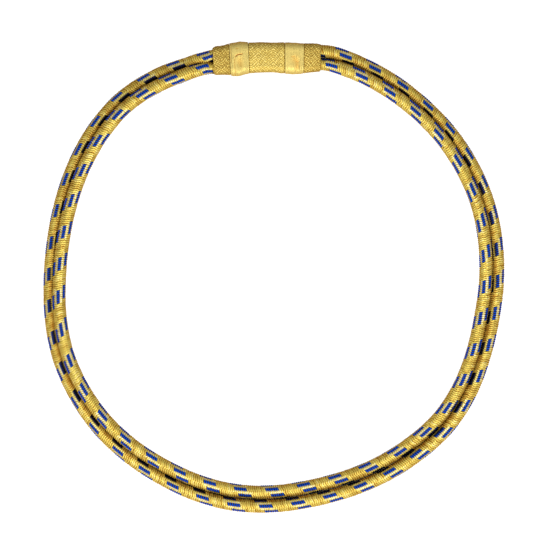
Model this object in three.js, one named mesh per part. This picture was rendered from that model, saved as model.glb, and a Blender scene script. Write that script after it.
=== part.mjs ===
import * as THREE from 'three';

// A dress aiguillette: two round cords side by side in an open ring, worn round the arm from the shoulder.
// Their cut ends lie in a woven lace sleeve at the top, which two smooth tape wraps hold. A straight pin
// for the shoulder lies under the sleeve. The ring lies flat.
// Millimetres, +Z up. The origin is below the middle of the whole outline, on the surface it lies on.
// +X is to the right and +Y towards the sleeve.

// Driving dimensions: the ring
const ringRadius = 110;
const ringCentre = { x: 0.25, y: -1.34 };
const cordDiameter = 6.5;
const cordGap = 0.4;
const cordSides = 12;
const cordStepsPerPoint = 2;
const cutEndGap = 1.5;
const mouthLead = 2;

// Driving dimensions: the sleeve, whose middle lies left of the ring's top
const sleeveEnd = 8.4;
const sleeveWall = 0.6;
const sleeveClearance = 0.2;
const sleeveShift = -3.7;
const sleeveStandOff = 0.75;
const sleeveTilt = 1.2;
const sleeveBow = 0.7;
const valleyDepth = 1;
const mouthTaper = 0.35;
const mouthTaperLength = 1.4;

// Driving dimensions: the two tape wraps and the pin
const keeperWidth = 9.3;
const keeperSpacing = 18.2;
const keeperWall = 0.5;
const keeperClearance = 0.2;
const keeperSideGap = 0.3;
const keeperBed = 0.3;
const keeperBulge = { left: 0.75, right: 0.05 };
const keeperDip = 0.35;
const keeperEdgeRound = 0.15;
const pinDiameter = 1;
const pinClearance = 0.2;
const pinOverhang = 2;

// Resolution of the soft outlines
const halfRoundSteps = 8;
const spanSteps = 6;
const keeperSteps = 6;
const pinSides = 8;

// Both cords go once round the ring, clockwise seen from above, from the sleeve's right mouth to its left.
// clock: degrees from the top. reach: radius of the line midway between the cords, as a share of ringRadius.
// spread: how far apart the cords are seen from above, as a share of their pitch. Where it is under 1, the
// inner cord rides up on the outer one's shoulder. rise: how far both are lifted by the sleeve, as a share
// of their lift inside it.
const ringRows = [
  { clock: 20, reach: 1.034, spread: 0.88, rise: 0.3 },
  { clock: 30, reach: 1.028, spread: 0.85, rise: 0.06 },
  { clock: 40, reach: 1.022, spread: 0.81, rise: 0 },
  { clock: 50, reach: 1.019, spread: 0.8, rise: 0 },
  { clock: 60, reach: 1.014, spread: 0.81, rise: 0 },
  { clock: 70, reach: 1.008, spread: 0.82, rise: 0 },
  { clock: 80, reach: 0.997, spread: 0.84, rise: 0 },
  { clock: 90, reach: 0.987, spread: 0.88, rise: 0 },
  { clock: 100, reach: 0.981, spread: 0.91, rise: 0 },
  { clock: 110, reach: 0.987, spread: 0.9, rise: 0 },
  { clock: 120, reach: 0.999, spread: 0.93, rise: 0 },
  { clock: 130, reach: 1.005, spread: 0.97, rise: 0 },
  { clock: 140, reach: 0.998, spread: 1.0, rise: 0 },
  { clock: 150, reach: 0.991, spread: 1.01, rise: 0 },
  { clock: 160, reach: 0.985, spread: 1.02, rise: 0 },
  { clock: 170, reach: 0.985, spread: 1.02, rise: 0 },
  { clock: 180, reach: 0.995, spread: 1.01, rise: 0 },
  { clock: 190, reach: 1.005, spread: 1.0, rise: 0 },
  { clock: 200, reach: 1.008, spread: 0.97, rise: 0 },
  { clock: 210, reach: 1.009, spread: 0.92, rise: 0 },
  { clock: 220, reach: 1.015, spread: 0.85, rise: 0 },
  { clock: 230, reach: 1.021, spread: 0.8, rise: 0 },
  { clock: 240, reach: 1.022, spread: 0.75, rise: 0 },
  { clock: 250, reach: 1.019, spread: 0.7, rise: 0 },
  { clock: 260, reach: 1.008, spread: 0.68, rise: 0 },
  { clock: 270, reach: 0.997, spread: 0.69, rise: 0 },
  { clock: 280, reach: 0.997, spread: 0.71, rise: 0 },
  { clock: 290, reach: 1.008, spread: 0.73, rise: 0 },
  { clock: 300, reach: 1.026, spread: 0.75, rise: 0 },
  { clock: 310, reach: 1.045, spread: 0.76, rise: 0 },
  { clock: 320, reach: 1.057, spread: 0.76, rise: 0 },
  { clock: 330, reach: 1.049, spread: 0.77, rise: 0.1 },
  { clock: 338, reach: 1.037, spread: 0.82, rise: 0.34 },
];

// Sizes worked out from those above
const cordRadius = cordDiameter / 2;
const cordPitch = cordDiameter + cordGap;
const sleeveBore = cordRadius + sleeveClearance;
const sleeveRound = sleeveBore + sleeveWall;
const bedRound = sleeveRound - keeperBed;
const pinDepth = sleeveRound - valleyDepth + pinClearance + pinDiameter / 2;
const keeperBore = bedRound + keeperClearance;
const keeperRound = keeperBore + keeperWall;
const keeperBoreDepth = pinDepth + pinDiameter / 2 + keeperClearance;
const keeperDepth = keeperBoreDepth + keeperWall;
const sleeveHeight = keeperDepth;
const keeperInnerEdge = keeperSpacing / 2;
const keeperOuterEdge = keeperInnerEdge + keeperWidth;
const sleeveHalf = keeperOuterEdge + sleeveEnd;

const up = new THREE.Vector3(0, 0, 1);

// A point of the sleeve's middle line, a shallow bow, and the level direction across the sleeve there.
// distance runs from the sleeve's middle towards its right end.
function onSleeveLine(distance) {
  const tilt = THREE.MathUtils.degToRad(sleeveTilt);
  const along = new THREE.Vector3(1, 0, 0).applyAxisAngle(up, tilt);
  const across = new THREE.Vector3(0, 1, 0).applyAxisAngle(up, tilt);
  const share = distance / sleeveHalf;
  const slope = (-2 * sleeveBow * share) / sleeveHalf;
  const tangent = along.clone().addScaledVector(across, slope).normalize();
  const reach = ringRadius + sleeveStandOff;
  const point = new THREE.Vector3(ringCentre.x + sleeveShift, ringCentre.y + reach, sleeveHeight)
    .addScaledVector(along, distance)
    .addScaledVector(across, -sleeveBow * share * share);
  return { point, side: new THREE.Vector3().crossVectors(up, tangent) };
}

// One cord's centre points; direction is 1 for the outer cord and -1 for the inner one
function cordPoints(direction) {
  const inSleeve = (distance) => {
    const { point, side } = onSleeveLine(distance);
    return point.addScaledVector(side, (direction * cordPitch) / 2);
  };
  const onRing = ({ clock, reach, spread, rise }) => {
    const angle = THREE.MathUtils.degToRad(clock);
    const radius = ringRadius * reach + (direction * spread * cordPitch) / 2;
    const ride = direction < 0 ? cordPitch * Math.sqrt(Math.max(0, 1 - spread * spread)) : 0;
    return new THREE.Vector3(
      ringCentre.x + radius * Math.sin(angle),
      ringCentre.y + radius * Math.cos(angle),
      cordRadius + ride + rise * (sleeveHeight - cordRadius),
    );
  };
  return [
    inSleeve(cutEndGap / 2),
    inSleeve(sleeveHalf - mouthLead),
    inSleeve(sleeveHalf + mouthLead),
    ...ringRows.map(onRing),
    inSleeve(-sleeveHalf - mouthLead),
    inSleeve(-sleeveHalf + mouthLead),
    inSleeve(-cutEndGap / 2),
  ];
}

// A smooth route whose steps fall on its points and evenly between them, so that both cords bend together
class CordRoute extends THREE.CatmullRomCurve3 {
  getUtoTmapping(share) {
    return share;
  }
}

function makeCord(direction) {
  const points = cordPoints(direction);
  const route = new CordRoute(points, false, 'centripetal');
  const steps = cordStepsPerPoint * (points.length - 1);
  const section = new THREE.Shape();
  for (let i = 0; i < cordSides; i += 1) {
    const angle = ((i + 0.5) / cordSides) * 2 * Math.PI;
    const place = [cordRadius * Math.cos(angle), cordRadius * Math.sin(angle)];
    if (i === 0) {
      section.moveTo(...place);
    } else {
      section.lineTo(...place);
    }
  }
  section.closePath();
  return new THREE.ExtrudeGeometry(section, { steps, extrudePath: route });
}

// The band's outline in cross-section: a round over each cord's outer side, and between the two cords a
// dip in the top and the underside. Points run anticlockwise seen along the sleeve from its right end.
function bandOutline({ round, depth = round, dip = valleyDepth, underDip = dip }) {
  const reach = cordPitch / 2;
  const outline = [];
  const addRound = (direction, start) => {
    for (let i = 0; i <= halfRoundSteps; i += 1) {
      const angle = start + (i / halfRoundSteps) * Math.PI;
      const height = Math.sin(angle) > 0 ? round : depth;
      outline.push([direction * reach + round * Math.cos(angle), height * Math.sin(angle)]);
    }
  };
  const addSpan = (direction, height, valley) => {
    for (let i = 1; i < spanSteps; i += 1) {
      const place = reach * (1 - (2 * i) / spanSteps);
      const sag = (valley * (1 + Math.cos((Math.PI * place) / reach))) / 2;
      outline.push([direction * place, direction * (height - sag)]);
    }
  };
  addRound(1, -Math.PI / 2);
  addSpan(1, round, dip);
  addRound(-1, Math.PI / 2);
  addSpan(-1, depth, underDip);
  return outline;
}

// A ring of points round the sleeve's middle line
function ringAt(distance, outline) {
  const { point, side } = onSleeveLine(distance);
  return outline.map(([across, height]) =>
    point.clone().addScaledVector(side, across).addScaledVector(up, height),
  );
}

// A wall between two skins, each a list of rings from the sleeve's left towards its right, open at both ends
function wallBetween(outerRings, innerRings) {
  const count = outerRings[0].length;
  const positions = [...outerRings, ...innerRings].flat().flatMap((place) => place.toArray());
  const indices = [];
  const joinRings = (from, to) => {
    for (let i = 0; i < count; i += 1) {
      const next = (i + 1) % count;
      indices.push(from * count + i, from * count + next, to * count + next);
      indices.push(from * count + i, to * count + next, to * count + i);
    }
  };
  const lastOuter = outerRings.length - 1;
  const firstInner = outerRings.length;
  const lastInner = firstInner + innerRings.length - 1;
  for (let ring = 0; ring < lastOuter; ring += 1) {
    joinRings(ring, ring + 1);
  }
  joinRings(lastOuter, lastInner);
  for (let ring = lastInner; ring > firstInner; ring -= 1) {
    joinRings(ring, ring - 1);
  }
  joinRings(firstInner, 0);
  const geometry = new THREE.BufferGeometry();
  geometry.setAttribute('position', new THREE.Float32BufferAttribute(positions, 3));
  geometry.setIndex(indices);
  geometry.computeVertexNormals();
  return geometry;
}

function makeSleeve() {
  const bedStart = keeperInnerEdge - keeperSideGap;
  const bedEnd = keeperOuterEdge + keeperSideGap;
  const rightHalf = [
    { at: bedStart, round: sleeveRound },
    { at: bedStart, round: bedRound },
    { at: bedEnd, round: bedRound },
    { at: bedEnd, round: sleeveRound },
    { at: sleeveHalf - mouthTaperLength, round: sleeveRound },
    { at: sleeveHalf, round: sleeveRound - mouthTaper },
  ];
  const leftHalf = rightHalf.map(({ at, round }) => ({ at: -at, round })).reverse();
  const stations = [...leftHalf, { at: 0, round: sleeveRound }, ...rightHalf];
  const outerRings = stations.map(({ at, round }) => ringAt(at, bandOutline({ round })));
  const innerRings = [-1, -0.5, 0, 0.5, 1].map((share) =>
    ringAt(share * sleeveHalf, bandOutline({ round: sleeveBore })),
  );
  return wallBetween(outerRings, innerRings);
}

// A tape wrap: direction is 1 for the right one and -1 for the left one
function makeKeeper(direction, bulge) {
  const middle = (direction * (keeperInnerEdge + keeperOuterEdge)) / 2;
  const outerRings = [];
  for (let i = 0; i <= keeperSteps; i += 1) {
    const share = i / keeperSteps;
    const swell = bulge * Math.sin(Math.PI * share);
    const edge = i === 0 || i === keeperSteps ? keeperEdgeRound : 0;
    const outline = bandOutline({
      round: keeperRound + swell - edge,
      depth: keeperDepth,
      dip: keeperDip,
      underDip: 0,
    });
    outerRings.push(ringAt(middle + keeperWidth * (share - 0.5), outline));
  }
  const bore = { round: keeperBore, depth: keeperBoreDepth, dip: keeperDip, underDip: 0 };
  const innerRings = [-0.5, 0, 0.5].map((share) => ringAt(middle + keeperWidth * share, bandOutline(bore)));
  return wallBetween(outerRings, innerRings);
}

// The pin follows the straight line between its two ends on the bowed middle line
function makePin() {
  const half = keeperOuterEdge + pinOverhang;
  const left = onSleeveLine(-half).point;
  const right = onSleeveLine(half).point;
  const pin = new THREE.CylinderGeometry(pinDiameter / 2, pinDiameter / 2, left.distanceTo(right), pinSides);
  pin.rotateY(Math.PI / pinSides);
  pin.rotateZ(-Math.PI / 2);
  pin.rotateZ(Math.atan2(right.y - left.y, right.x - left.x));
  const middle = left.add(right).multiplyScalar(0.5);
  pin.translate(middle.x, middle.y, middle.z - pinDepth);
  return pin;
}

const cordGold = new THREE.MeshStandardMaterial({ color: '#c9a24a', roughness: 0.38, metalness: 0.75 });
const laceGold = new THREE.MeshStandardMaterial({ color: '#d3b45c', roughness: 0.5, metalness: 0.6 });
const tapeGold = new THREE.MeshStandardMaterial({ color: '#e0c266', roughness: 0.42, metalness: 0.6 });
const pinBrass = new THREE.MeshStandardMaterial({ color: '#c8a04a', roughness: 0.3, metalness: 1 });

function addPiece(group, name, geometry, material) {
  const piece = new THREE.Mesh(geometry, material);
  piece.name = name;
  group.add(piece);
}

const aiguillette = new THREE.Group();
addPiece(aiguillette, 'cord_outer', makeCord(1), cordGold);
addPiece(aiguillette, 'cord_inner', makeCord(-1), cordGold);
addPiece(aiguillette, 'lace_sleeve', makeSleeve(), laceGold);
addPiece(aiguillette, 'keeper_left', makeKeeper(-1, keeperBulge.left), tapeGold);
addPiece(aiguillette, 'keeper_right', makeKeeper(1, keeperBulge.right), tapeGold);
addPiece(aiguillette, 'pin_bar', makePin(), pinBrass);

export default aiguillette;
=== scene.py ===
import math

import bpy
import numpy as np
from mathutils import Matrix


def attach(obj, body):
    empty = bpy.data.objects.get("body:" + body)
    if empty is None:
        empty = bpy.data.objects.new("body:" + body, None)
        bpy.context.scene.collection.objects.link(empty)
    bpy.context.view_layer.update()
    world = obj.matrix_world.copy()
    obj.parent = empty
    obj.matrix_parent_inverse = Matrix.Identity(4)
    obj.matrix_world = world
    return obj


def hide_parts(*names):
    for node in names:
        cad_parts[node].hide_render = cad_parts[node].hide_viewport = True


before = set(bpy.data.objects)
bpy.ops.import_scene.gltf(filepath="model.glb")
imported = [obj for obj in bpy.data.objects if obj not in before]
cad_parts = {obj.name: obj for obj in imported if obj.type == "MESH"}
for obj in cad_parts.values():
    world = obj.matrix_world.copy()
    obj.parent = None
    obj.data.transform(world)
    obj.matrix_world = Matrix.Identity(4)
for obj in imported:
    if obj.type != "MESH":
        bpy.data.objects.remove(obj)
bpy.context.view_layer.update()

# A dress aiguillette, lying flat: two round cords with blue dashes in an open ring, whose ends lie in a
# woven lace sleeve with two tape wraps. All lengths are in metres. Seen from above, +Y is towards the sleeve.

# The ring and its cords, as in the part's source
RING_RADIUS = 0.110
RING_X, RING_Y = 0.00025, -0.00134
CORD_RADIUS = 0.00325
CORD_PITCH = 0.0069
CUT_END_GAP = 0.0015
MOUTH_LEAD = 0.002

# The sleeve and its wraps, as in the part's source
KEEPER_WIDTH = 0.0093
KEEPER_INNER_EDGE = 0.0091
KEEPER_OUTER_EDGE = KEEPER_INNER_EDGE + KEEPER_WIDTH
KEEPER_MIDDLE = KEEPER_INNER_EDGE + KEEPER_WIDTH / 2
SLEEVE_HALF = KEEPER_OUTER_EDGE + 0.0084
SLEEVE_SHIFT = -0.0037
SLEEVE_STAND_OFF = 0.00075
SLEEVE_TILT = math.radians(1.2)
SLEEVE_BOW = 0.0007
SLEEVE_HEIGHT = 0.00495
SLEEVE_BORE = 0.00345
SLEEVE_ROUND = 0.00405
KEEPER_BED = 0.0003
KEEPER_BORE_DEPTH = 0.00445
KEEPER_DEPTH = 0.00495

# The ring's line: degrees clockwise from the top, radius as a share of RING_RADIUS, distance between the
# cords seen from above as a share of CORD_PITCH, and how far the sleeve lifts them, as a share of its lift
RING_ROWS = (
    (20, 1.034, 0.88, 0.3),
    (30, 1.028, 0.85, 0.06),
    (40, 1.022, 0.81, 0),
    (50, 1.019, 0.8, 0),
    (60, 1.014, 0.81, 0),
    (70, 1.008, 0.82, 0),
    (80, 0.997, 0.84, 0),
    (90, 0.987, 0.88, 0),
    (100, 0.981, 0.91, 0),
    (110, 0.987, 0.9, 0),
    (120, 0.999, 0.93, 0),
    (130, 1.005, 0.97, 0),
    (140, 0.998, 1.0, 0),
    (150, 0.991, 1.01, 0),
    (160, 0.985, 1.02, 0),
    (170, 0.985, 1.02, 0),
    (180, 0.995, 1.01, 0),
    (190, 1.005, 1.0, 0),
    (200, 1.008, 0.97, 0),
    (210, 1.009, 0.92, 0),
    (220, 1.015, 0.85, 0),
    (230, 1.021, 0.8, 0),
    (240, 1.022, 0.75, 0),
    (250, 1.019, 0.7, 0),
    (260, 1.008, 0.68, 0),
    (270, 0.997, 0.69, 0),
    (280, 0.997, 0.71, 0),
    (290, 1.008, 0.73, 0),
    (300, 1.026, 0.75, 0),
    (310, 1.045, 0.76, 0),
    (320, 1.057, 0.76, 0),
    (330, 1.049, 0.77, 0.1),
    (338, 1.037, 0.82, 0.34),
)

# The cords' weave: ribs across the cord, in six broad columns with narrow ones between them. In each broad
# column one dash of blue ribs comes back after RIBS_PER_REPEAT ribs, a sixth of that later than in the
# column before it.
COLUMNS = 6
BROAD_HALF = math.radians(20)
COLUMN_SIDES = (-math.pi / COLUMNS, -BROAD_HALF, -BROAD_HALF / 2, 0, BROAD_HALF / 2, BROAD_HALF)
CORD_SIDES = COLUMNS * len(COLUMN_SIDES)
ROWS_PER_RIB = 4
ROW_DEPTHS = (0.0, 0.37, 1.0, 0.37)
RIBS_PER_REPEAT = 15
RIBS_PER_DASH = 6
BROAD_SLANT = 0.75
NARROW_SLANT = 0.25
CREST_RADIUS = 0.00344
SEAM_DIP = 0.00008
DASH_DIP = 0.00012
RIB_UNEVENNESS = 0.00005
UNEVENNESS_RANGE = (-2, 1.5)

# The grooves between ribs: their depth, and how dark their painted shade is, at each of COLUMN_SIDES
GROOVES = (0.00028, 0.00042, 0.00042, 0.00042, 0.00042, 0.00042)
GROOVE_SHADES = (0.7, 1.0, 0.8, 0.7, 0.8, 1.0)

# How much thinner the cords are inside the sleeve, and the length outside it over which that sets in
SQUEEZE = 0.07
SQUEEZE_LENGTH = 0.004

# The cord's shade value goes from 0 by CREST_SHADE, on the ribs' crests, to 1 in the grooves, which are
# darkened as painted shade. Crests beside a dash are paler by PALE_SHARE of CREST_SHADE. Teeth are the gold
# at the edges of a dash, painted pale as a highlight, and TOOTH_BLACK is how far they are blackened as
# painted shade.
CREST_SHADE = 0.25
SHADE_UNEVENNESS = 0.12
PALE_SHARE = 0.8
TOOTH_SHADE = 0.08
TOOTH_BLACK = 0.3

# Painted shade: the cord is darker towards the other cord, from NOOK_START to NOOK_FULL of the way to the
# middle between them, and within MOUTH_SHADOW of the sleeve's mouths
NOOK_START = 0.35
NOOK_FULL = 0.8
NOOK_SHADE = 0.35
MOUTH_SHADOW = 0.0007
MOUTH_SHADE = 0.6

# A blue rib: one short thread across a broad column, round in section and sunk in at both ends
FLOAT_RADIUS = 0.00324
FLOAT_HALF_HEIGHT = 0.00026
FLOAT_HALF_WIDTH = 0.00037
FLOAT_UNEVENNESS = 0.08
FLOAT_BOW = 0.00025
FLOAT_POINT = 0.95
FLOAT_STATIONS = 7
FLOAT_SIDES = 6

# Where each cord's pattern starts and ends, as clock angles of two dashes, and the number of repeats between
# them. nudge: how far the cord is pushed outwards near the sleeve's mouths, in metres, by clock angle.
# creep: how far the weave is drawn back along the cord, in metres, by clock angle. turn: how far the first
# column is turned from the top towards the ring's outside, in degrees, by clock angle.
CORD_PATTERNS = {
    "outer": {
        "first_dash": 17.8,
        "last_dash": 343.2,
        "repeats": 40 + 4 / 6,
        "nudge": (
            (8, 0.0), (10.5, 0.0002), (12.5, 0.0002), (15.5, 0.0004), (18, 0.0002), (22, 0.0), (332, 0.0),
            (336, -0.0002), (340, -0.0007), (342, -0.0012), (343.3, -0.0014), (345.5, -0.0009), (348.5, 0.0),
        ),
        "creep": (
            (17, 0.0004), (42, 0.0), (57, 0.0005), (68, 0.0012), (90, 0.0012), (115, 0.0008), (150, 0.0002),
            (170, -0.0004), (182, -0.0009), (210, -0.0012), (232, -0.0018), (247, -0.001), (265, -0.001),
            (280, -0.0005), (294, -0.0009), (310, -0.0013), (343, -0.0013),
        ),
        "turn": (
            (18, 3), (34, 18), (49, 24), (66, 48), (90, 61), (107, 71), (131, 90), (149, 104), (165, 114),
            (190, 123), (206, 129), (222, 143), (247, 180), (263, 190), (288, 206), (311, 214), (343, 237),
        ),
    },
    "inner": {
        "first_dash": 15.1,
        "last_dash": 340.9,
        "repeats": 38 + 2 / 6,
        "nudge": (
            (7, 0.0), (9.5, 0.0006), (12.5, 0.0007), (14.5, 0.0008), (16, 0.0005), (19, 0.0), (334, 0.0),
            (338, 0.0004), (342, 0.0004), (343.5, -0.0001), (346, 0.0),
        ),
        "creep": (
            (15, -0.0003), (25, 0.0002), (60, 0.0), (75, 0.0001), (92, 0.0015), (115, 0.0019), (135, 0.0022),
            (152, 0.0015), (172, 0.0012), (190, 0.0011), (220, 0.0013), (245, 0.0011), (257, 0.0015),
            (275, 0.0007), (300, 0.0008), (312, 0.0), (333, -0.0002), (341, 0.0),
        ),
        "turn": (
            (15, -4), (49, 6), (66, 11), (74, 19), (91, 46), (100, 55), (118, 63), (153, 76), (188, 97),
            (222, 108), (249, 120), (265, 128), (283, 127), (300, 123), (317, 128), (341, 140),
        ),
    },
}

# 1 makes the band's shoulders round, and less makes them squarer
SHOULDER = 0.8
SHOULDER_POINTS = 90
FLAT_POINTS = 60
GIRTH_POINTS = 400

# The lace: slanting rows of small lumps that turn back at each column, so that they zigzag along the band
LACE_STEP = 0.00022
LACE_COLUMN = 0.00375
LACE_ROW = 0.00122
LACE_SLOPE = math.radians(40)
LACE_LUMP = 0.0011
LACE_LUMPINESS = 0.7
LACE_WANDER = 0.18
LACE_RELIEF = 0.00028
# LACE_CORNER_SHADE: painted shade in the corners beside the wraps, within LACE_CORNER of their edges
LACE_CORNER = 0.0005
LACE_CORNER_SHADE = 0.5
LACE_END_SHADE = 0.17
LACE_SLACK = 0.00005
LACE_CROWN = 0.00015
LACE_VALLEY = 0.0004
LACE_EDGE = 0.0002
LACE_RIM = 0.0006
LACE_RIM_DROP = 0.0002
LACE_WALL = 0.00012
LACE_TOP_LEAST = 0.0036
LACE_RELIEF_MIDDLE = 0.7
LACE_WANDER_WAVE = 0.004
LACE_SLACK_WAVE = 0.009
LACE_INNER_RINGS = 60

# The heights of the lace's lumps: the least one, how many rows and how many lumps go by before they repeat,
# and how many lumps they move on by from one column to the next
LUMP_LEAST = 0.6
LUMP_ROWS, LUMP_COUNT = 97, 89
LUMP_SHIFT = 7

# How far the lace bulges past the middle of the outer cord and of the inner one, by place along the sleeve as
# a share of its half length
LACE_ROUNDS = (
    (-1, 0.003, 0.00355), (-0.94, 0.0038, 0.0038), (-0.86, 0.0038, 0.00385), (-0.79, 0.004, 0.00408),
    (-0.7, 0.0047, 0.0043), (-0.34, 0.0048, 0.0038), (-0.27, 0.00475, 0.00377), (-0.04, 0.00462, 0.00372),
    (0.1, 0.00447, 0.00367), (0.18, 0.00442, 0.00387), (0.25, 0.00447, 0.00425), (0.34, 0.0044, 0.0043),
    (0.7, 0.004, 0.0041), (0.78, 0.00406, 0.00381), (0.85, 0.00408, 0.0036), (0.93, 0.00398, 0.0034),
    (1, 0.0037, 0.0031),
)

# The two tape wraps. rounds: how far each bulges past the cords' middles, by place along it as a share of its
# half width. creases: depth, darkness of their painted shade, and the line as points of (along, across) from
# the wrap's middle, in metres. bumps: along, across, half lengths both ways, and rise. The last table holds
# painted shade with a warm painted reflection in the dents: the same, with darkness for rise.
TAPE_STEP = 0.0001
TAPE_RIB = 0.00046
TAPE_RELIEF = 0.00002
TAPE_STREAK = 0.00003
TAPE_CROWN = 0.0001
CREASE_HALF = 0.00022
TAPE_BORE = 0.0038
KEEPERS = {
    "left": {
        "direction": -1,
        "rounds": (
            (-1, 0.0047, 0.0045), (-0.74, 0.00488, 0.00493), (-0.31, 0.00506, 0.00496),
            (0.12, 0.00543, 0.00473), (0.55, 0.0052, 0.00425), (1, 0.00487, 0.00398),
        ),
        "creases": (
            (0.00012, 0.25, ((-0.0024, -0.0085), (-0.0025, -0.004), (-0.00235, 0.0002), (-0.0017, 0.0015))),
            (0.0003, 1.0, ((-0.0017, 0.0015), (-0.00095, 0.00215), (0.0003, 0.0024), (0.0016, 0.00245))),
            (0.00018, 0.15, ((-0.0042, -0.0016), (-0.0042, 0.0024), (-0.0041, 0.0064))),
            (0.00008, 0.4, ((-0.0013, 0.0054), (-0.0004, 0.0052))),
        ),
        "bumps": (
            (-0.0006, -0.0068, 0.0018, 0.0014, 0.0005),
            (0.0002, -0.0012, 0.0018, 0.0026, -0.0004),
            (0.0031, -0.004, 0.0006, 0.0028, 0.0003),
            (-0.0034, 0.001, 0.0004, 0.006, 0.0002),
        ),
        "dent_shades": ((0.0001, -0.0012, 0.0016, 0.0026, 0.22), (0.0006, -0.0034, 0.001, 0.001, 0.12)),
    },
    "right": {
        "direction": 1,
        "rounds": (
            (-1, 0.00432, 0.00442), (-0.63, 0.00439, 0.00454), (-0.2, 0.00428, 0.00473),
            (0.23, 0.00422, 0.00462), (0.66, 0.00397, 0.00447), (1, 0.00398, 0.0042),
        ),
        "creases": (
            (0.00008, 0.4, ((-0.0014, 0.0006), (0.0, 0.0007))),
            (0.00008, 0.4, ((0.001, -0.0018), (0.002, -0.002))),
        ),
        "bumps": (
            (0.0031, -0.0042, 0.0006, 0.003, 0.00035),
            (0.0015, -0.0046, 0.0012, 0.0026, -0.0004),
            (0.0004, -0.001, 0.0018, 0.0022, -0.00025),
            (-0.0041, 0.0, 0.0005, 0.007, 0.00015),
        ),
        "dent_shades": ((0.0004, -0.0008, 0.0018, 0.002, 0.25), (0.0014, -0.0042, 0.0011, 0.0022, 0.3)),
    },
}

UP = np.array((0.0, 0.0, 1.0))
SEED = 7


# Camera

PHOTO_PIXELS = 550
METRES_PER_PIXEL = 0.0005
CAMERA_DISTANCE = 4
CAMERA_X, CAMERA_Y = 0.0006, 0.00109
SENSOR_MM = 36


def make_camera():
    """Looks straight down from far enough above for the ring's two cords to keep their true places."""
    data = bpy.data.cameras.new("camera")
    data.sensor_width = SENSOR_MM
    data.lens = SENSOR_MM * CAMERA_DISTANCE / (PHOTO_PIXELS * METRES_PER_PIXEL)
    camera = bpy.data.objects.new("camera", data)
    camera.location = (CAMERA_X, CAMERA_Y, CAMERA_DISTANCE + CORD_RADIUS)
    bpy.context.scene.collection.objects.link(camera)
    bpy.context.scene.camera = camera


# Meshes

def make_piece(name, vertices, faces, material, shades):
    """A smooth mesh that rides on the object's one body. shades holds a number for each vertex, by name."""
    mesh = bpy.data.meshes.new(name)
    mesh.from_pydata(vertices.tolist(), [], faces)
    mesh.validate()
    mesh.shade_smooth()
    mesh.materials.append(material)
    for shade, values in shades.items():
        attribute = mesh.attributes.new(shade, "FLOAT", "POINT")
        attribute.data.foreach_set("value", np.asarray(values, np.float32))
    piece = bpy.data.objects.new(name, mesh)
    bpy.context.scene.collection.objects.link(piece)
    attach(piece, "root")
    return piece


def tube_faces(rings, sides, first=0):
    """Quads between rings of vertices, each ring closed on itself."""
    faces = []
    for ring in range(rings - 1):
        start = first + ring * sides
        for side in range(sides):
            after = (side + 1) % sides
            faces.append((start + side, start + after, start + sides + after, start + sides + side))
    return faces


def read_table(rows, place, column=1):
    """The value at each place, from rows that start with a place."""
    columns = list(zip(*rows))
    return np.interp(place, columns[0], columns[column])


def ease(share):
    """From 0 to 1, with a soft start and end."""
    share = np.clip(share, 0, 1)
    return share * share * (3 - 2 * share)


def ripples(along, around, girth, wavelength, rng, waves=12):
    """A gentle random unevenness, about -1 to 1, that closes on itself round the band."""
    total = np.zeros(np.broadcast(along, around).shape)
    for _ in range(waves):
        heading, phase = rng.uniform(0, math.tau, 2)
        turns = round(girth / wavelength * math.sin(heading))
        total += np.sin(math.tau * (along * math.cos(heading) / wavelength + turns * around / girth) + phase)
    return total / math.sqrt(waves)


# Routes

def sleeve_line(distance):
    """Points of the sleeve's middle line and the level directions across it, by distance to the right."""
    distance = np.atleast_1d(np.asarray(distance, float))
    along = np.array((math.cos(SLEEVE_TILT), math.sin(SLEEVE_TILT), 0))
    across = np.array((-math.sin(SLEEVE_TILT), math.cos(SLEEVE_TILT), 0))
    middle = np.array((RING_X + SLEEVE_SHIFT, RING_Y + RING_RADIUS + SLEEVE_STAND_OFF, SLEEVE_HEIGHT))
    share = distance / SLEEVE_HALF
    points = middle + distance[:, None] * along - (SLEEVE_BOW * share**2)[:, None] * across
    tangents = along - (2 * SLEEVE_BOW * share / SLEEVE_HALF)[:, None] * across
    tangents /= np.linalg.norm(tangents, axis=1)[:, None]
    return points, np.cross(UP, tangents)


def cord_points(direction):
    """The points that a cord goes through; direction is 1 for the outer cord and -1 for the inner one."""
    leads = np.array((CUT_END_GAP / 2, SLEEVE_HALF - MOUTH_LEAD, SLEEVE_HALF + MOUTH_LEAD))
    right, right_side = sleeve_line(leads)
    left, left_side = sleeve_line(-leads[::-1])
    points = list(right + direction * CORD_PITCH / 2 * right_side)
    for clock, reach, spread, rise in RING_ROWS:
        angle = math.radians(clock)
        radius = RING_RADIUS * reach + direction * spread * CORD_PITCH / 2
        ride = CORD_PITCH * math.sqrt(max(0, 1 - spread**2)) if direction < 0 else 0
        height = CORD_RADIUS + ride + rise * (SLEEVE_HEIGHT - CORD_RADIUS)
        points.append((RING_X + radius * math.sin(angle), RING_Y + radius * math.cos(angle), height))
    points.extend(left + direction * CORD_PITCH / 2 * left_side)
    return np.array(points)


def smooth_line(points, steps=40):
    """A centripetal Catmull-Rom curve through the points, as closely spaced points."""
    before = 2 * points[0] - points[1]
    after = 2 * points[-1] - points[-2]
    knots = np.vstack((before, points, after))
    t = np.linspace(0, 1, steps, endpoint=False)[:, None]
    line = []
    for p0, p1, p2, p3 in zip(knots, knots[1:], knots[2:], knots[3:]):
        d0, d1, d2 = (math.sqrt(np.linalg.norm(b - a)) for a, b in ((p0, p1), (p1, p2), (p2, p3)))
        m1 = d1 * ((p1 - p0) / d0 - (p2 - p0) / (d0 + d1) + (p2 - p1) / d1)
        m2 = d1 * ((p2 - p1) / d1 - (p3 - p1) / (d1 + d2) + (p3 - p2) / d2)
        a = 2 * p1 - 2 * p2 + m1 + m2
        b = -3 * p1 + 3 * p2 - 2 * m1 - m2
        line.append(a * t**3 + b * t**2 + m1 * t + p1)
    return np.vstack((*line, points[-1:]))


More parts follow.
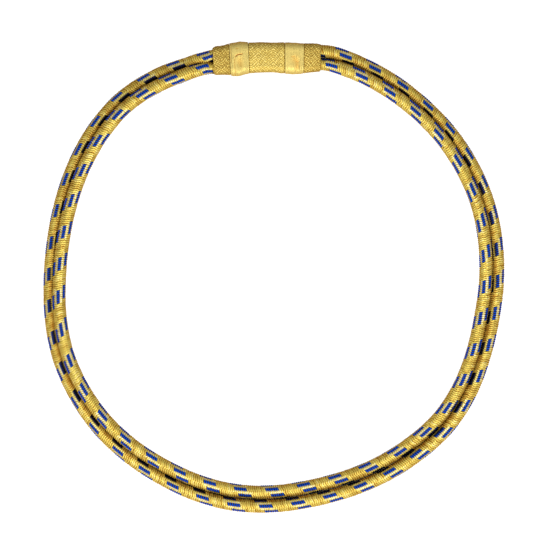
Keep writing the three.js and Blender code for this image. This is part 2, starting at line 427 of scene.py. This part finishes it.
class Route:
    """A cord's centreline, read by the distance along it."""

    def __init__(self, direction, nudge):
        line = smooth_line(cord_points(direction))
        angle = np.unwrap(np.arctan2(line[:, 0] - RING_X, line[:, 1] - RING_Y))
        self.clock = np.degrees(angle)
        outward = np.stack((np.sin(angle), np.cos(angle), 0 * angle), axis=1)
        self.line = line + read_table(nudge, self.clock)[:, None] * outward
        gaps = np.linalg.norm(np.diff(self.line, axis=0), axis=1)
        self.distance = np.concatenate(((0,), np.cumsum(gaps)))
        self.length = self.distance[-1]
        self.tangent = np.gradient(self.line, self.distance, axis=0)

    def at_clock(self, clock):
        return np.interp(clock, self.clock, self.distance)

    def clock_at(self, distance):
        return np.interp(distance, self.distance, self.clock)

    def frame_at(self, distance):
        """Centre, upward direction and direction towards the ring's outside, for each distance."""
        centre = np.stack([np.interp(distance, self.distance, c) for c in self.line.T], axis=-1)
        tangent = np.stack([np.interp(distance, self.distance, c) for c in self.tangent.T], axis=-1)
        tangent /= np.linalg.norm(tangent, axis=-1, keepdims=True)
        outward = np.cross(UP, tangent)
        outward /= np.linalg.norm(outward, axis=-1, keepdims=True)
        return centre, np.cross(tangent, outward), outward


# Cords

class Weave:
    """One cord's pattern on its route: start and rib are the first dash's place and a rib's length."""

    def __init__(self, side, routes):
        self.route = routes[side]
        self.neighbour = routes["inner" if side == "outer" else "outer"]
        self.pattern = CORD_PATTERNS[side]
        self.start = self.route.at_clock(self.pattern["first_dash"])
        span = self.route.at_clock(self.pattern["last_dash"]) - self.start
        self.rib = span / self.pattern["repeats"] / RIBS_PER_REPEAT

    def surface(self, distance, angle, radius):
        """Points on the cord, flattened where it presses on the other cord or on the surface it lies on, and
        how much painted shade each gets towards the other cord and at the sleeve's mouths, from 0 to 1."""
        clock = self.route.clock_at(distance)
        distance = np.clip(distance - read_table(self.pattern["creep"], clock), 0, self.route.length)
        around = angle + np.radians(read_table(self.pattern["turn"], clock))
        from_end = np.minimum(distance, self.route.length - distance)
        squeeze = 1 - SQUEEZE * ease((SLEEVE_HALF + SQUEEZE_LENGTH - from_end) / SQUEEZE_LENGTH)
        centre, upward, outward = self.route.frame_at(distance)
        direction = np.cos(around)[..., None] * upward + np.sin(around)[..., None] * outward
        offset = (radius * squeeze)[..., None] * direction
        opposite = self.neighbour.at_clock(self.route.clock_at(distance))
        across = self.neighbour.frame_at(opposite)[0] - centre
        gap = np.linalg.norm(across, axis=-1, keepdims=True)
        across /= gap
        towards = (offset * across).sum(axis=-1, keepdims=True)
        place = centre + offset - np.maximum(towards - gap / 2, 0) * across
        place[..., 2] = np.maximum(place[..., 2], 0)
        # Painted shade towards the other cord, and near the sleeve's mouths
        shade_in_nook = ease((2 * towards / gap - NOOK_START) / (NOOK_FULL - NOOK_START))[..., 0]
        mouth = ease((SLEEVE_HALF + MOUTH_SHADOW - from_end) / MOUTH_SHADOW)
        return place, np.maximum(shade_in_nook, MOUTH_SHADE * mouth)


def rib_shift(angle):
    """How far a rib lies along the cord at an angle round it, in ribs. It slants one way across a broad
    column and back across a narrow one, and loses half a rib from each column to the next."""
    column = np.round(angle * COLUMNS / math.tau)
    rest = angle - column * math.tau / COLUMNS
    narrow = math.pi / COLUMNS - BROAD_HALF
    in_broad = np.clip(rest, -BROAD_HALF, BROAD_HALF) / BROAD_HALF
    in_narrow = (rest - np.clip(rest, -BROAD_HALF, BROAD_HALF)) / narrow
    step = NARROW_SLANT - BROAD_SLANT
    return column * step - in_broad * BROAD_SLANT / 2 + in_narrow * NARROW_SLANT / 2


def by_dash(rows, column, shift=0):
    """Which of the cord's vertices lie as far along it as a dash in their column, or shift columns on."""
    step = RIBS_PER_REPEAT / COLUMNS + NARROW_SLANT - BROAD_SLANT
    ribs = rows[:, None] / ROWS_PER_RIB + 0.5 + column * step + shift * RIBS_PER_REPEAT / COLUMNS
    from_dash = np.abs((ribs + RIBS_PER_REPEAT / 2) % RIBS_PER_REPEAT - RIBS_PER_REPEAT / 2)
    return from_dash <= RIBS_PER_DASH / 2


def cord_faces(rows, turn_rows, centre):
    """Quads between the rows of one long spiral, and fans to two centres that close its ends."""
    faces = []
    for row in range(rows - 1):
        for side in range(CORD_SIDES - 1):
            corner = row * CORD_SIDES + side
            faces.append((corner, corner + CORD_SIDES, corner + CORD_SIDES + 1, corner + 1))
        if row >= turn_rows:
            corner = row * CORD_SIDES + CORD_SIDES - 1
            seam = (row - turn_rows) * CORD_SIDES
            faces.append((corner, corner + CORD_SIDES, seam + CORD_SIDES, seam))
    near = [*range(CORD_SIDES), *(row * CORD_SIDES - 1 for row in range(2, turn_rows + 2))]
    lip = (rows - 1 - turn_rows) * CORD_SIDES
    last = (rows - 1) * CORD_SIDES
    far = [*range(lip, last, CORD_SIDES), *range(last, last + CORD_SIDES)]
    faces.extend((a, b, centre) for a, b in zip(near, near[1:] + near[:1]))
    faces.extend((b, a, centre + 1) for a, b in zip(far, far[1:] + far[:1]))
    return faces, near, far


def make_cord(name, weave, material, rng):
    """The gold cord: ribs whose mesh rows follow them round the cord."""
    start, rib = weave.start, weave.rib
    turn_rows = round(COLUMNS * (BROAD_SLANT - NARROW_SLANT) * ROWS_PER_RIB)
    first = -math.floor(start / rib) * ROWS_PER_RIB + turn_rows
    last = math.floor((weave.route.length - start) / rib) * ROWS_PER_RIB - ROWS_PER_RIB
    rows = np.arange(first, last + 1)
    column, side = np.divmod(np.arange(CORD_SIDES), len(COLUMN_SIDES))
    rest = np.array(COLUMN_SIDES)[side]
    angles = column * math.tau / COLUMNS + rest
    distance = start + (0.5 + rows[:, None] / ROWS_PER_RIB + rib_shift(angles)) * rib
    grooves = np.array(GROOVES)
    darkness = np.array(GROOVE_SHADES)
    at_seam = np.isclose(np.abs(rest), BROAD_HALF)
    row_depth = np.array(ROW_DEPTHS)[rows % ROWS_PER_RIB][:, None]
    ribs = (rows - first) // ROWS_PER_RIB
    uneven = np.clip(rng.normal(0, 1, (ribs.max() + 1, COLUMNS)), *UNEVENNESS_RANGE)[ribs][:, column]
    blue = by_dash(rows, column) & (side > 0)
    beside_blue = (by_dash(rows, column) | by_dash(rows, column, -1)) & (side == 0)
    radius = CREST_RADIUS - row_depth * grooves[side] - SEAM_DIP * at_seam
    radius += RIB_UNEVENNESS * uneven - DASH_DIP * blue
    # Painted shade darkens the grooves, and the teeth are painted pale as a highlight
    depth = CREST_SHADE + (1 - CREST_SHADE) * row_depth * darkness[side] - SHADE_UNEVENNESS * uneven
    depth -= PALE_SHARE * CREST_SHADE * beside_blue
    depth = np.where(blue & at_seam, TOOTH_SHADE, depth)
    vertices, shade_in_nook = weave.surface(distance, angles + 0 * distance, radius)
    # Painted shade in the nook between the cords and at the sleeve's mouths
    depth += NOOK_SHADE * shade_in_nook
    vertices = vertices.reshape(-1, 3)
    faces, near, far = cord_faces(len(rows), turn_rows, len(vertices))
    vertices = np.vstack((vertices, vertices[near].mean(axis=0), vertices[far].mean(axis=0)))
    # Painted shade: under a dash the gold goes nearly black, less at the teeth, more in the nook
    blue = np.where(at_seam, TOOTH_BLACK + (1 - TOOTH_BLACK) * shade_in_nook, 1) * blue
    shades = {"depth": [*depth.ravel(), 1, 1], "blue": [*blue.ravel(), 0, 0]}
    return make_piece(name, vertices, faces, material, shades)


def make_dashes(name, weave, material, rng):
    """The blue ribs: each is one short thread that lies across a broad column and dips in at both ends."""
    route, start, rib = weave.route, weave.start, weave.rib
    shown = (SLEEVE_HALF - MOUTH_LEAD, route.length - SLEEVE_HALF + MOUTH_LEAD)
    share = np.linspace(-1, 1, FLOAT_STATIONS)
    taper = np.sqrt(1 - (FLOAT_POINT * share) ** 2)
    around = -(np.arange(FLOAT_SIDES) + 0.5) * math.tau / FLOAT_SIDES
    vertices, depths, faces = [], [], []
    first = -math.ceil(start / rib) // RIBS_PER_REPEAT - 1
    last = math.ceil((route.length - start) / rib) // RIBS_PER_REPEAT + 1
    for column in range(COLUMNS):
        middle = -column * math.tau / COLUMNS
        for repeat in range(first, last):
            dash = RIBS_PER_REPEAT * (repeat + column / COLUMNS)
            for number in range(RIBS_PER_DASH):
                centre = start + (dash + number - (RIBS_PER_DASH - 1) / 2) * rib
                if not shown[0] < centre < shown[1]:
                    continue
                height = FLOAT_HALF_HEIGHT * (1 + rng.normal(0, FLOAT_UNEVENNESS)) * taper
                line = centre - share * BROAD_SLANT / 2 * rib
                distance = line[:, None] + FLOAT_HALF_WIDTH * taper[:, None] * np.cos(around)
                low = FLOAT_RADIUS - FLOAT_BOW * share**4
                radius = low[:, None] + height[:, None] * np.sin(around)
                angle = middle + (share * BROAD_HALF)[:, None] + 0 * distance
                base = len(vertices) * FLOAT_STATIONS * FLOAT_SIDES
                points, shade_in_nook = weave.surface(distance, angle, radius)
                vertices.append(points)
                depths.append(shade_in_nook)
                faces.extend(tube_faces(FLOAT_STATIONS, FLOAT_SIDES, base))
                end = base + (FLOAT_STATIONS - 1) * FLOAT_SIDES
                faces.append(tuple(range(base + FLOAT_SIDES - 1, base - 1, -1)))
                faces.append(tuple(range(end, end + FLOAT_SIDES)))
    # Painted shade on the blue ribs towards the other cord and near the sleeve's mouths
    shades = {"depth": np.concatenate(depths).ravel()}
    return make_piece(name, np.concatenate(vertices).reshape(-1, 3), faces, material, shades)


# The band

def band_outline(outer, inner, top, bottom, crown, valley, count):
    """The band's outline in cross-section, in evenly spaced points that start at the underside's middle and
    go by the ring's outside, with outward normals, both as (across, height), and its length. outer and inner:
    how far it bulges past the cords' middles. top and bottom: how far up and down it reaches over them."""
    reach = CORD_PITCH / 2
    turn = np.linspace(-math.pi / 2, math.pi / 2, SHOULDER_POINTS)
    span = np.linspace(1, -1, FLAT_POINTS)[1:-1] * reach
    sag = (1 + np.cos(math.pi * span / reach)) / 2
    side = np.where(turn > 0, top, bottom) * np.sign(turn) * np.abs(np.sin(turn)) ** SHOULDER
    bulge = np.abs(np.cos(turn)) ** SHOULDER
    across = np.concatenate((reach + outer * bulge, span, -reach - inner * bulge, -span))
    height = np.concatenate((side, top + crown * sag, side[::-1], valley * sag - bottom))
    points = np.roll(np.stack((across, height), axis=1), len(span) // 2, axis=0)
    points = np.vstack((points, points[:1]))
    travel = np.concatenate(((0,), np.cumsum(np.linalg.norm(np.diff(points, axis=0), axis=1))))
    even = np.arange(count) / count * travel[-1]
    points = np.stack([np.interp(even, travel, c) for c in points.T], axis=1)
    tangents = np.roll(points, -1, axis=0) - np.roll(points, 1, axis=0)
    tangents /= np.linalg.norm(tangents, axis=1)[:, None]
    return points, np.stack((tangents[:, 1], -tangents[:, 0]), axis=1), travel[-1]


def place_rings(distances, outlines):
    """Vertices of rings round the sleeve's middle line, each ring from its own outline."""
    centres, sides = sleeve_line(distances)
    across, height = outlines[..., 0], outlines[..., 1]
    return centres[:, None] + across[..., None] * sides[:, None] + height[..., None] * UP


def wall_piece(name, outer, inner, material, depth):
    """A closed wall between two skins of rings, open at both ends. depth shades the outer skin."""
    rings, count = outer.shape[:2]
    inner_rings = inner.shape[0]
    first = rings * count
    faces = tube_faces(rings, count)
    faces.extend(face[::-1] for face in tube_faces(inner_rings, count, first))
    right = (rings - 1) * count
    inner_right = first + (inner_rings - 1) * count
    for side in range(count):
        after = (side + 1) % count
        faces.append((side, first + side, first + after, after))
        faces.append((right + side, right + after, inner_right + after, inner_right + side))
    vertices = np.vstack((outer.reshape(-1, 3), inner.reshape(-1, 3)))
    shades = {"depth": np.concatenate((depth.ravel(), np.ones(inner_rings * count)))}
    return make_piece(name, vertices, faces, material, shades)


def lace_relief(along, around, girth, rng):
    """Height of the lace from 0, between its threads, to 1."""
    row = girth / round(girth / LACE_ROW)
    column = np.floor(along / LACE_COLUMN)
    slant = np.abs((along / LACE_COLUMN) % 2 - 1) * LACE_COLUMN
    rows = (around + slant * math.tan(LACE_SLOPE)) / row
    rows = rows + LACE_WANDER * ripples(along, around, girth, LACE_WANDER_WAVE, rng)
    lumps = slant / LACE_LUMP + 0.5 * np.floor(rows)
    sizes = rng.uniform(LUMP_LEAST, 1, (LUMP_ROWS, LUMP_COUNT))
    lump = np.floor(lumps) + LUMP_SHIFT * column
    size = sizes[np.floor(rows).astype(int) % LUMP_ROWS, lump.astype(int) % LUMP_COUNT]
    across_row = 2 * (rows % 1) - 1
    along_row = 2 * (lumps % 1) - 1
    return size * (1 - across_row**2) * (1 - LACE_LUMPINESS * along_row**2)


def make_sleeve(material, rng):
    """The woven lace tube, drawn in under the two wraps and at its mouths."""
    rings = round(2 * SLEEVE_HALF / LACE_STEP) + 1
    distances = np.linspace(-SLEEVE_HALF, SLEEVE_HALF, rings)
    girth = band_outline(SLEEVE_ROUND, SLEEVE_ROUND, SLEEVE_ROUND, SLEEVE_ROUND, 0, 0, GIRTH_POINTS)[2]
    count = round(girth / LACE_STEP)
    around = np.arange(count) / count * girth
    relief = lace_relief(distances[:, None] + SLEEVE_HALF, around[None, :], girth, rng)
    slack = ripples(distances[:, None], around[None, :], girth, LACE_SLACK_WAVE, rng)
    from_wrap = np.maximum(KEEPER_INNER_EDGE - np.abs(distances), np.abs(distances) - KEEPER_OUTER_EDGE)
    under_wrap = 1 - ease(from_wrap / LACE_EDGE)
    from_rim = np.clip((SLEEVE_HALF - np.abs(distances)) / LACE_RIM, 0, 1)
    rim_drop = LACE_RIM_DROP * (1 - np.sqrt(1 - (1 - from_rim) ** 2))
    sides = [read_table(LACE_ROUNDS, distances / SLEEVE_HALF, column) for column in (1, 2)]
    heights = [np.maximum(sum(sides) / 2, LACE_TOP_LEAST), np.full(rings, SLEEVE_ROUND)]
    bed = SLEEVE_ROUND - KEEPER_BED
    reaches = np.array([reach - rim_drop + under_wrap * (bed - reach) for reach in sides + heights])
    outlines = []
    for ring in range(rings):
        points, normals, _ = band_outline(*reaches[:, ring], LACE_CROWN, LACE_VALLEY, count)
        lift = LACE_RELIEF * (relief[ring] - LACE_RELIEF_MIDDLE) + LACE_SLACK * slack[ring]
        lift *= from_rim[ring]
        outlines.append(points + lift[:, None] * normals)
    outer = place_rings(distances, np.array(outlines))
    inner_rings = np.linspace(0, rings - 1, LACE_INNER_RINGS).round().astype(int)
    inner = []
    for ring in inner_rings:
        bore = np.minimum(SLEEVE_BORE, reaches[:, ring] - LACE_WALL)
        inner.append(band_outline(*bore, -LACE_VALLEY, LACE_VALLEY, count)[0])
    inner = place_rings(distances[inner_rings], np.array(inner))
    # Painted shade: darker between the lace's threads, and in the corners beside the wraps
    shade = LACE_CORNER_SHADE * (1 - ease(from_wrap / LACE_CORNER))
    shade += LACE_END_SHADE * (np.abs(distances) > KEEPER_MIDDLE)
    return wall_piece("woven_sleeve", outer, inner, material, 1 - relief + shade[:, None])


def line_distance(along, across, line):
    """Distance to a line of points."""
    nearest = np.full(np.broadcast(along, across).shape, np.inf)
    for (x0, y0), (x1, y1) in zip(line, line[1:]):
        dx, dy = x1 - x0, y1 - y0
        share = np.clip(((along - x0) * dx + (across - y0) * dy) / (dx * dx + dy * dy), 0, 1)
        nearest = np.minimum(nearest, np.hypot(along - x0 - share * dx, across - y0 - share * dy))
    return nearest


def mound(along, across, rows):
    """The sum of soft mounds, from rows of (along, across, half lengths both ways, height)."""
    total = np.zeros(np.broadcast(along, across).shape)
    for x, y, half_x, half_y, height in rows:
        total += height * np.exp(-((along - x) / half_x) ** 2 - ((across - y) / half_y) ** 2)
    return total


def make_keeper(side, material, rng):
    """A smooth tape wound round the sleeve, with its creases and bumps on the upper side."""
    facts = KEEPERS[side]
    middle = facts["direction"] * KEEPER_MIDDLE
    rings = round(KEEPER_WIDTH / TAPE_STEP) + 1
    along = np.linspace(-KEEPER_WIDTH / 2, KEEPER_WIDTH / 2, rings)
    sides = [read_table(facts["rounds"], 2 * along / KEEPER_WIDTH, column) for column in (1, 2)]
    tops = sum(sides) / 2
    girth = band_outline(sides[0].max(), sides[1].max(), tops.max(), KEEPER_DEPTH, 0, 0, GIRTH_POINTS)[2]
    count = round(girth / (1.5 * TAPE_STEP))
    around = np.arange(count) / count * girth
    streaks = ripples(along[:, None] * 6, around[None, :], girth, 0.004, rng, 24)
    outlines, depths = [], []
    for ring, (outer, inner, top) in enumerate(zip(*sides, tops)):
        points, normals, _ = band_outline(outer, inner, top, KEEPER_DEPTH, TAPE_CROWN, 0, count)
        across, height = points.T
        upper = ease(height / 0.001 + 0.5)
        lift = TAPE_RELIEF * np.sin(math.tau * along[ring] / TAPE_RIB) + TAPE_STREAK * streaks[ring]
        dark = np.zeros(count)
        # Painted shade darkens each crease
        for depth, darkness, line in facts["creases"]:
            groove = np.exp(-((line_distance(along[ring], across, line) / CREASE_HALF) ** 2)) * upper
            lift -= depth * groove
            dark = np.maximum(dark, groove * darkness)
        lift += upper * mound(along[ring], across, facts["bumps"])
        lift *= ease((height + KEEPER_DEPTH) / 0.001)
        outlines.append(points + lift[:, None] * normals)
        # Painted shade, with a warm painted reflection, in the dents
        depths.append(dark + upper * mound(along[ring], across, facts["dent_shades"]))
    outer = place_rings(middle + along, np.array(outlines))
    bore = band_outline(TAPE_BORE, TAPE_BORE, TAPE_BORE, KEEPER_BORE_DEPTH, 0, 0, count)[0]
    inner_along = np.linspace(-KEEPER_WIDTH / 2, KEEPER_WIDTH / 2, 5)
    inner = place_rings(middle + inner_along, np.array([bore] * 5))
    return wall_piece(f"tape_wrap_{side}", outer, inner, material, np.array(depths))


# Materials

def new_material(name):
    material = bpy.data.materials.new(name)
    material.use_nodes = True
    tree = material.node_tree
    return material, tree, tree.nodes["Principled BSDF"]


def add_node(tree, kind, **settings):
    node = tree.nodes.new(kind)
    for key, value in settings.items():
        if hasattr(node, key):
            setattr(node, key, value)
        else:
            node.inputs[key].default_value = value
    return node


def metal_thread(name, shades, roughness, metallic, grain, spread=0.2):
    """Metal-covered thread, coloured by how deep a place is, darker in hollows as painted shade, with a fine
    uneven glitter. shades: rows of (depth, colour)."""
    material, tree, shader = new_material(name)
    depth = add_node(tree, "ShaderNodeAttribute", attribute_name="depth")
    noise = add_node(tree, "ShaderNodeTexNoise", Scale=grain, Detail=4.0)
    blotch = add_node(tree, "ShaderNodeTexNoise", Scale=grain / 4, Detail=3.0)
    ramp = add_node(tree, "ShaderNodeValToRGB")
    stops = ramp.color_ramp.elements
    for _ in shades[2:]:
        stops.new(0.5)
    for stop, (place, colour) in zip(stops, shades):
        stop.position = place
        stop.color = (*colour, 1)
    tree.links.new(depth.outputs["Fac"], ramp.inputs["Fac"])
    vary = add_node(tree, "ShaderNodeMapRange")
    vary.inputs["From Min"].default_value = 0.3
    vary.inputs["From Max"].default_value = 0.7
    vary.inputs["To Min"].default_value = 1 - spread
    vary.inputs["To Max"].default_value = 1 + spread
    tree.links.new(blotch.outputs["Fac"], vary.inputs["Value"])
    scaled = add_node(tree, "ShaderNodeVectorMath", operation="SCALE")
    tree.links.new(ramp.outputs["Color"], scaled.inputs[0])
    tree.links.new(vary.outputs["Result"], scaled.inputs["Scale"])
    tree.links.new(scaled.outputs["Vector"], shader.inputs["Base Color"])
    rough = add_node(tree, "ShaderNodeMapRange")
    rough.inputs["To Min"].default_value = roughness - 0.12
    rough.inputs["To Max"].default_value = roughness + 0.12
    tree.links.new(noise.outputs["Fac"], rough.inputs["Value"])
    tree.links.new(rough.outputs["Result"], shader.inputs["Roughness"])
    bump = add_node(tree, "ShaderNodeBump", Strength=0.5, Distance=0.0001)
    tree.links.new(noise.outputs["Fac"], bump.inputs["Height"])
    tree.links.new(bump.outputs["Normal"], shader.inputs["Normal"])
    shader.inputs["Metallic"].default_value = metallic
    shader.inputs["Specular Tint"].default_value = (1.0, 0.58, 0.2, 1)
    return material


def cord_metal(name):
    """The cord's gold thread, painted nearly black as shade under and between the blue ribs."""
    # Colours by depth, from pale crests to the painted shade of the grooves
    shades = ((0.0, (0.83, 0.77, 0.53)), (CREST_SHADE, (0.71, 0.585, 0.12)), (1.0, (0.3, 0.125, 0.008)))
    material = metal_thread(name, shades, 0.48, 0.55, 4000.0)
    tree = material.node_tree
    colour = tree.nodes["Principled BSDF"].inputs["Base Color"]
    gold = colour.links[0].from_socket
    blue = add_node(tree, "ShaderNodeAttribute", attribute_name="blue")
    # Painted shade: nearly black where the blue attribute says
    mix = add_node(tree, "ShaderNodeMixRGB", Color2=(0.002, 0.003, 0.012, 1))
    tree.links.new(blue.outputs["Fac"], mix.inputs["Fac"])
    tree.links.new(gold, mix.inputs["Color1"])
    tree.links.new(mix.outputs["Color"], colour)
    return material


def blue_thread(name):
    """Silky blue thread with fine filaments."""
    material, tree, shader = new_material(name)
    noise = add_node(tree, "ShaderNodeTexNoise", Scale=900.0, Detail=3.0)
    ramp = add_node(tree, "ShaderNodeValToRGB")
    ramp.color_ramp.elements[0].position = 0.3
    ramp.color_ramp.elements[0].color = (0.0, 0.025, 0.25, 1)
    ramp.color_ramp.elements[1].position = 0.7
    ramp.color_ramp.elements[1].color = (0.0, 0.08, 0.6, 1)
    tree.links.new(noise.outputs["Fac"], ramp.inputs["Fac"])
    # Painted shade: the blue goes nearly black by the depth attribute
    depth = add_node(tree, "ShaderNodeAttribute", attribute_name="depth")
    mix = add_node(tree, "ShaderNodeMixRGB", Color2=(0.0, 0.001, 0.006, 1))
    tree.links.new(depth.outputs["Fac"], mix.inputs["Fac"])
    tree.links.new(ramp.outputs["Color"], mix.inputs["Color1"])
    tree.links.new(mix.outputs["Color"], shader.inputs["Base Color"])
    fine = add_node(tree, "ShaderNodeTexNoise", Scale=6000.0, Detail=2.0)
    bump = add_node(tree, "ShaderNodeBump", Strength=0.3, Distance=0.00005)
    tree.links.new(fine.outputs["Fac"], bump.inputs["Height"])
    tree.links.new(bump.outputs["Normal"], shader.inputs["Normal"])
    shader.inputs["Roughness"].default_value = 0.6
    shader.inputs["Specular IOR Level"].default_value = 0.03
    return material


def drawn_brass(name):
    """Plain brass wire, slightly tarnished."""
    material, tree, shader = new_material(name)
    noise = add_node(tree, "ShaderNodeTexNoise", Scale=700.0, Detail=5.0)
    ramp = add_node(tree, "ShaderNodeValToRGB")
    ramp.color_ramp.elements[0].color = (0.42, 0.27, 0.08, 1)
    ramp.color_ramp.elements[1].color = (0.8, 0.58, 0.22, 1)
    tree.links.new(noise.outputs["Fac"], ramp.inputs["Fac"])
    tree.links.new(ramp.outputs["Color"], shader.inputs["Base Color"])
    bump = add_node(tree, "ShaderNodeBump", Strength=0.15, Distance=0.0001)
    tree.links.new(noise.outputs["Fac"], bump.inputs["Height"])
    tree.links.new(bump.outputs["Normal"], shader.inputs["Normal"])
    shader.inputs["Metallic"].default_value = 1
    shader.inputs["Roughness"].default_value = 0.3
    return material


# Stage

def make_floor(name, height, colour):
    mesh = bpy.data.meshes.new(name)
    mesh.from_pydata([(-3, -3, height), (3, -3, height), (3, 3, height), (-3, 3, height)], [], [(0, 1, 2, 3)])
    floor = bpy.data.objects.new(name, mesh)
    bpy.context.scene.collection.objects.link(floor)
    material, tree, shader = new_material(name)
    shader.inputs["Base Color"].default_value = (*colour, 1)
    shader.inputs["Roughness"].default_value = 0.9
    mesh.materials.append(material)
    return floor, tree, shader


def make_stage():
    """A white floor that glows where nothing is close over it, and soft light from above and from the near
    side. The object sees a dimmer, warmer table in the floor's place."""
    floor, tree, shader = make_floor("white_floor", -0.0001, (0.1, 0.1, 0.1))
    floor.visible_diffuse = False
    floor.visible_glossy = False
    floor.visible_shadow = False
    openness = add_node(tree, "ShaderNodeAmbientOcclusion", Distance=0.008)
    openness.samples = 8
    glow = add_node(tree, "ShaderNodeMapRange")
    glow.inputs["From Min"].default_value = 0.15
    glow.inputs["From Max"].default_value = 0.5
    glow.inputs["To Max"].default_value = 1.1
    tree.links.new(openness.outputs["AO"], glow.inputs["Value"])
    tree.links.new(glow.outputs["Result"], shader.inputs["Emission Strength"])
    shader.inputs["Emission Color"].default_value = (1, 1, 1, 1)
    table = make_floor("table_under_it", -0.0002, (0.5, 0.33, 0.16))[0]
    table.visible_camera = False
    world = bpy.data.worlds.new("soft_room")
    world.use_nodes = True
    tree = world.node_tree
    place = add_node(tree, "ShaderNodeTexCoord")
    parts = add_node(tree, "ShaderNodeSeparateXYZ")
    strength = add_node(tree, "ShaderNodeMapRange")
    strength.inputs["From Min"].default_value = -1
    strength.inputs["To Min"].default_value = 0.85
    strength.inputs["To Max"].default_value = 0.22
    tree.links.new(place.outputs["Generated"], parts.inputs["Vector"])
    tree.links.new(parts.outputs["Y"], strength.inputs["Value"])
    tree.links.new(strength.outputs["Result"], tree.nodes["Background"].inputs["Strength"])
    tree.nodes["Background"].inputs["Color"].default_value = (0.97, 0.98, 1.0, 1)
    bpy.context.scene.world = world
    for name, place, size, power in (
        ("key", (0.1, -0.8, 1.2), 0.8, 20.0),
        ("top", (0.0, 0.1, 1.4), 1.2, 5.0),
    ):
        data = bpy.data.lights.new(name, "AREA")
        data.size = size
        data.energy = power
        lamp = bpy.data.objects.new(name, data)
        lamp.location = place
        lamp.rotation_mode = "QUATERNION"
        lamp.rotation_quaternion = lamp.location.to_track_quat("Z", "Y")
        bpy.context.scene.collection.objects.link(lamp)
    bpy.context.scene.view_settings.view_transform = "Standard"


make_camera()
make_stage()
rng = np.random.default_rng(SEED)
cord_gold = cord_metal("cord_gold")
thread_blue = blue_thread("thread_blue")
routes = {}
for side, direction in (("outer", 1), ("inner", -1)):
    routes[side] = Route(direction, CORD_PATTERNS[side]["nudge"])
for side in routes:
    weave = Weave(side, routes)
    cord = make_cord(f"ribbed_cord_{side}", weave, cord_gold, rng)
    dashes = make_dashes(f"blue_dashes_{side}", weave, thread_blue, rng)
    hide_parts(f"cord_{side}")
    path = weave.route.frame_at(np.linspace(0, weave.route.length, 400))[0]

# The lace's colours by depth, from its raised threads to the painted shade between them
lace_shades = ((0.0, (0.88, 0.72, 0.25)), (0.5, (0.58, 0.44, 0.1)), (1.0, (0.25, 0.14, 0.018)))
lace_gold = metal_thread("lace_gold", lace_shades, 0.5, 0.4, 5000.0)
sleeve = make_sleeve(lace_gold, rng)
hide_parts("lace_sleeve")

# The tape's colours by depth, from the smooth tape to the painted shade in its creases and dents
tape_shades = ((0.0, (0.6, 0.47, 0.14)), (0.3, (0.58, 0.36, 0.08)), (1.0, (0.3, 0.08, 0.02)))
tape_gold = metal_thread("tape_gold", tape_shades, 0.45, 0.35, 3000.0, 0.1)
for side in KEEPERS:
    keeper = make_keeper(side, tape_gold, rng)
    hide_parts(f"keeper_{side}")

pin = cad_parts["pin_bar"]
pin.data.materials.clear()
pin.data.materials.append(drawn_brass("pin_brass"))
